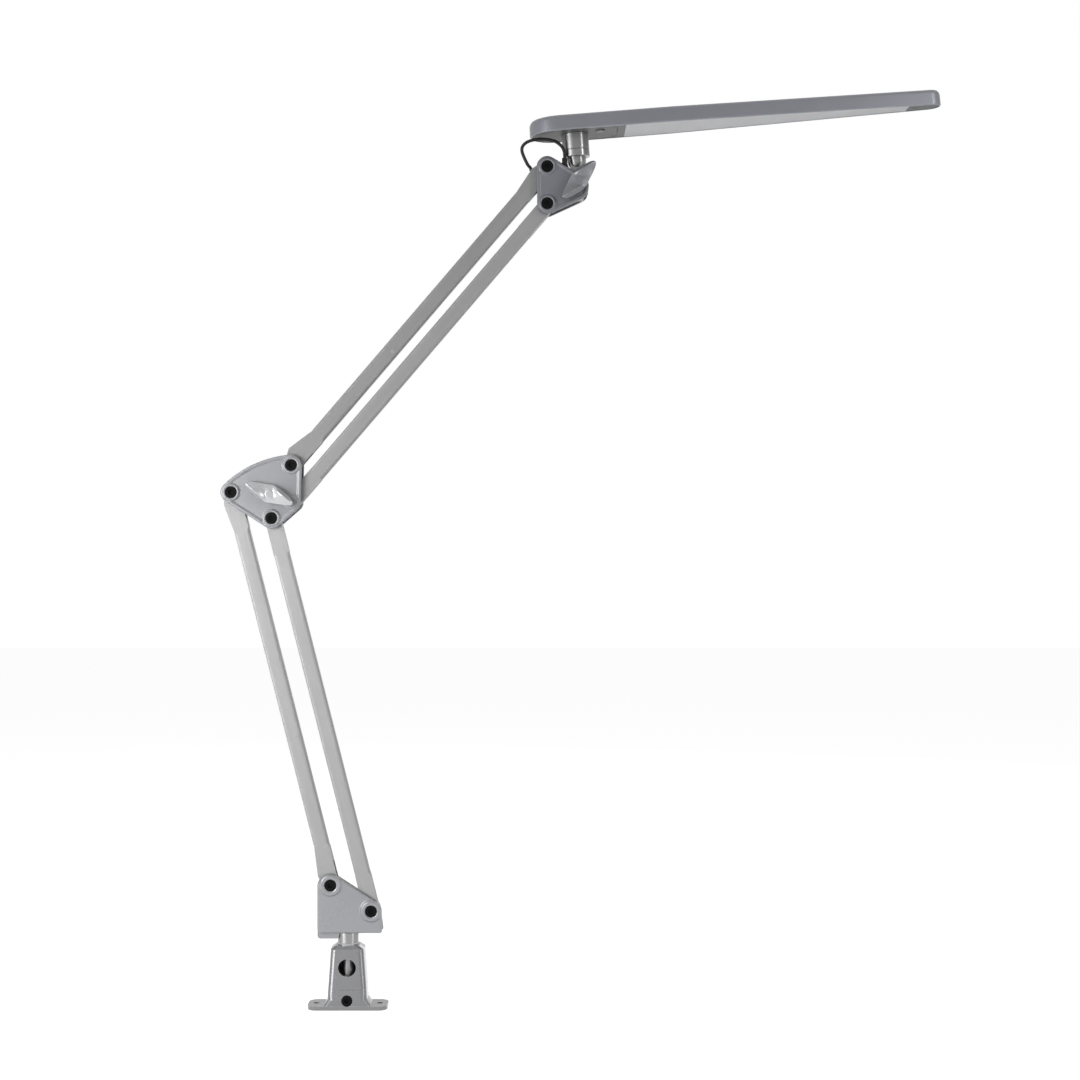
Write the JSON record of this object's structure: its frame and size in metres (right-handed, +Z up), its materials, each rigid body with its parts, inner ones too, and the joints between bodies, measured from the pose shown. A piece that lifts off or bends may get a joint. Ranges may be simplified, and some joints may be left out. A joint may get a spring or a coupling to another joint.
{
  "type": "desk lamp",
  "caption": "Spring-balanced desk lamp with a screw-down mount, two parallel-bar arms, wing knobs and a long flat LED head.",
  "frame": {"origin": "on the swivel pin's axis at the underside of the foot", "axes": "+Z up along the swivel pin, +X the way the head points, the arms move in the XZ plane"},
  "size_m": [0.7126, 0.057, 0.9084],
  "materials": {
    "painted": "silver-grey fine metallic paint",
    "bar_paint": "silver lacquered drawn aluminium",
    "bright": "satin bright steel",
    "black_steel": "black oxide",
    "zinc": "zinc plated",
    "spring_steel": "oiled spring wire",
    "brass_bush": "turned",
    "nylon": "natural nylon",
    "friction": "pressed fibre",
    "rubber": "black lead and boots",
    "head_paint": "silver-grey paint",
    "base_plastic": "grey plastic",
    "diffuser": "frosted, translucent",
    "board": "white solder mask",
    "green_board": "green solder mask",
    "led": "phosphor lens",
    "knob": "silver painted plastic"
  },
  "bodies": {
    "base": {"mount_casting": "painted", "swivel_bushes": "brass_bush", "friction_screw": "black_steel"},
    "column": {"swivel_pin": "bright", "yoke_body": "painted", "yoke_plate": "painted", "yoke_sleeves": "bright", "yoke_washers": "nylon", "yoke_screws": "black_steel", "yoke_nuts": "zinc", "yoke_spring_anchor": "zinc", "lead_gland": "rubber", "yoke_lead": "rubber"},
    "lower_outer_arm": {"lower_outer_bar": "bar_paint", "lower_spring_pin": "zinc", "lower_spring": "spring_steel", "lower_lead": "rubber"},
    "lower_inner_arm": {"lower_inner_bar": "bar_paint"},
    "elbow": {"elbow_plate": "painted", "elbow_body": "painted", "elbow_sleeves": "bright", "elbow_washers": "nylon", "elbow_screws": "black_steel", "elbow_nuts": "zinc", "elbow_spring_anchor": "zinc", "elbow_lead": "rubber", "elbow_knob_bolt": "zinc", "elbow_friction_disc": "friction"},
    "elbow_tension_knob": {"elbow_knob": "knob"},
    "upper_top_arm": {"upper_top_bar": "bar_paint", "upper_spring_pin": "zinc", "upper_spring": "spring_steel", "upper_lead": "rubber"},
    "upper_bottom_arm": {"upper_bottom_bar": "bar_paint"},
    "head_bracket": {"head_plate": "painted", "head_bracket_body": "painted", "head_sleeves": "bright", "head_washers": "nylon", "head_screws": "black_steel", "head_nuts": "zinc", "head_knob_bolt": "zinc", "tilt_washers": "friction", "loop_lead": "rubber", "lead_boot": "rubber"},
    "head_tension_knob": {"head_knob": "knob"},
    "post": {"head_post": "bright", "post_lead": "rubber", "swivel_washer": "zinc", "swivel_nut": "zinc"},
    "head": {"head_collar": "bright", "head_shell": "head_paint", "head_base": "base_plastic", "diffuser": "diffuser", "led_board": "board", "leds": "led", "heat_spreader": "bar_paint", "driver_board": "green_board", "cover_screws": "zinc"},
    "button": {"switch_button": "base_plastic"}
  },
  "joints": [
    {"name": "column_swivel", "type": "hinge", "parent": "base", "child": "column", "pos_m": [0, 0, 0], "axis": [0, 0, 1], "continuous": true},
    {"name": "lower_arm", "type": "hinge", "parent": "column", "child": "lower_outer_arm", "pos_m": [-0.0165, 0, 0.1225], "axis": [0, -1, 0], "range_deg": [-75, 22], "deforming": ["lower_spring", "yoke_lead"]},
    {"name": "lower_inner_pivot", "type": "hinge", "parent": "column", "child": "lower_inner_arm", "pos_m": [0.0235, 0, 0.0969], "axis": [0, -1, 0], "range_deg": [-75, 22]},
    {"name": "elbow_pivot", "type": "hinge", "parent": "lower_outer_arm", "child": "elbow", "pos_m": [-0.11462, 0, 0.51028], "axis": [0, -1, 0], "range_deg": [-22, 75], "deforming": ["elbow_lead"]},
    {"name": "elbow_knob_turn", "type": "hinge", "parent": "elbow", "child": "elbow_tension_knob", "pos_m": [-0.07572, 0, 0.50858], "axis": [0, -1, 0], "range_deg": [-180, 180]},
    {"name": "upper_arm", "type": "hinge", "parent": "elbow", "child": "upper_top_arm", "pos_m": [-0.05512, 0, 0.53698], "axis": [0, -1, 0], "range_deg": [-80, 13], "deforming": ["upper_spring"]},
    {"name": "upper_bottom_pivot", "type": "hinge", "parent": "elbow", "child": "upper_bottom_arm", "pos_m": [-0.05512, 0, 0.50048], "axis": [0, -1, 0], "range_deg": [-80, 13]},
    {"name": "head_bracket_pivot", "type": "hinge", "parent": "upper_top_arm", "child": "head_bracket", "pos_m": [0.19738, 0, 0.83157], "axis": [0, -1, 0], "range_deg": [-13, 80], "deforming": ["loop_lead"]},
    {"name": "head_knob_turn", "type": "hinge", "parent": "head_bracket", "child": "head_tension_knob", "pos_m": [0.22848, 0, 0.81707], "axis": [0, -1, 0], "range_deg": [-180, 180]},
    {"name": "head_tilt", "type": "hinge", "parent": "head_bracket", "child": "post", "pos_m": [0.22848, 0, 0.81707], "axis": [0, -1, 0], "range_deg": [-70, 3]},
    {"name": "head_swivel", "type": "hinge", "parent": "post", "child": "head", "pos_m": [0.22848, 0, 0.81707], "axis": [-0.0785, 0, 0.9969], "range_deg": [-150, 150], "deforming": ["post_lead"]},
    {"name": "switch_press", "type": "slide", "parent": "head", "child": "button", "axis": [-0.0785, 0, 0.9969], "range_m": [0, 0.001], "stiffness_N_per_m": 250}
  ],
  "couplings": [
    {"joint": "lower_inner_pivot", "follows": "lower_arm", "ratio": 1},
    {"joint": "elbow_pivot", "follows": "lower_arm", "ratio": -1},
    {"joint": "upper_bottom_pivot", "follows": "upper_arm", "ratio": 1},
    {"joint": "head_bracket_pivot", "follows": "upper_arm", "ratio": -1}
  ]
}
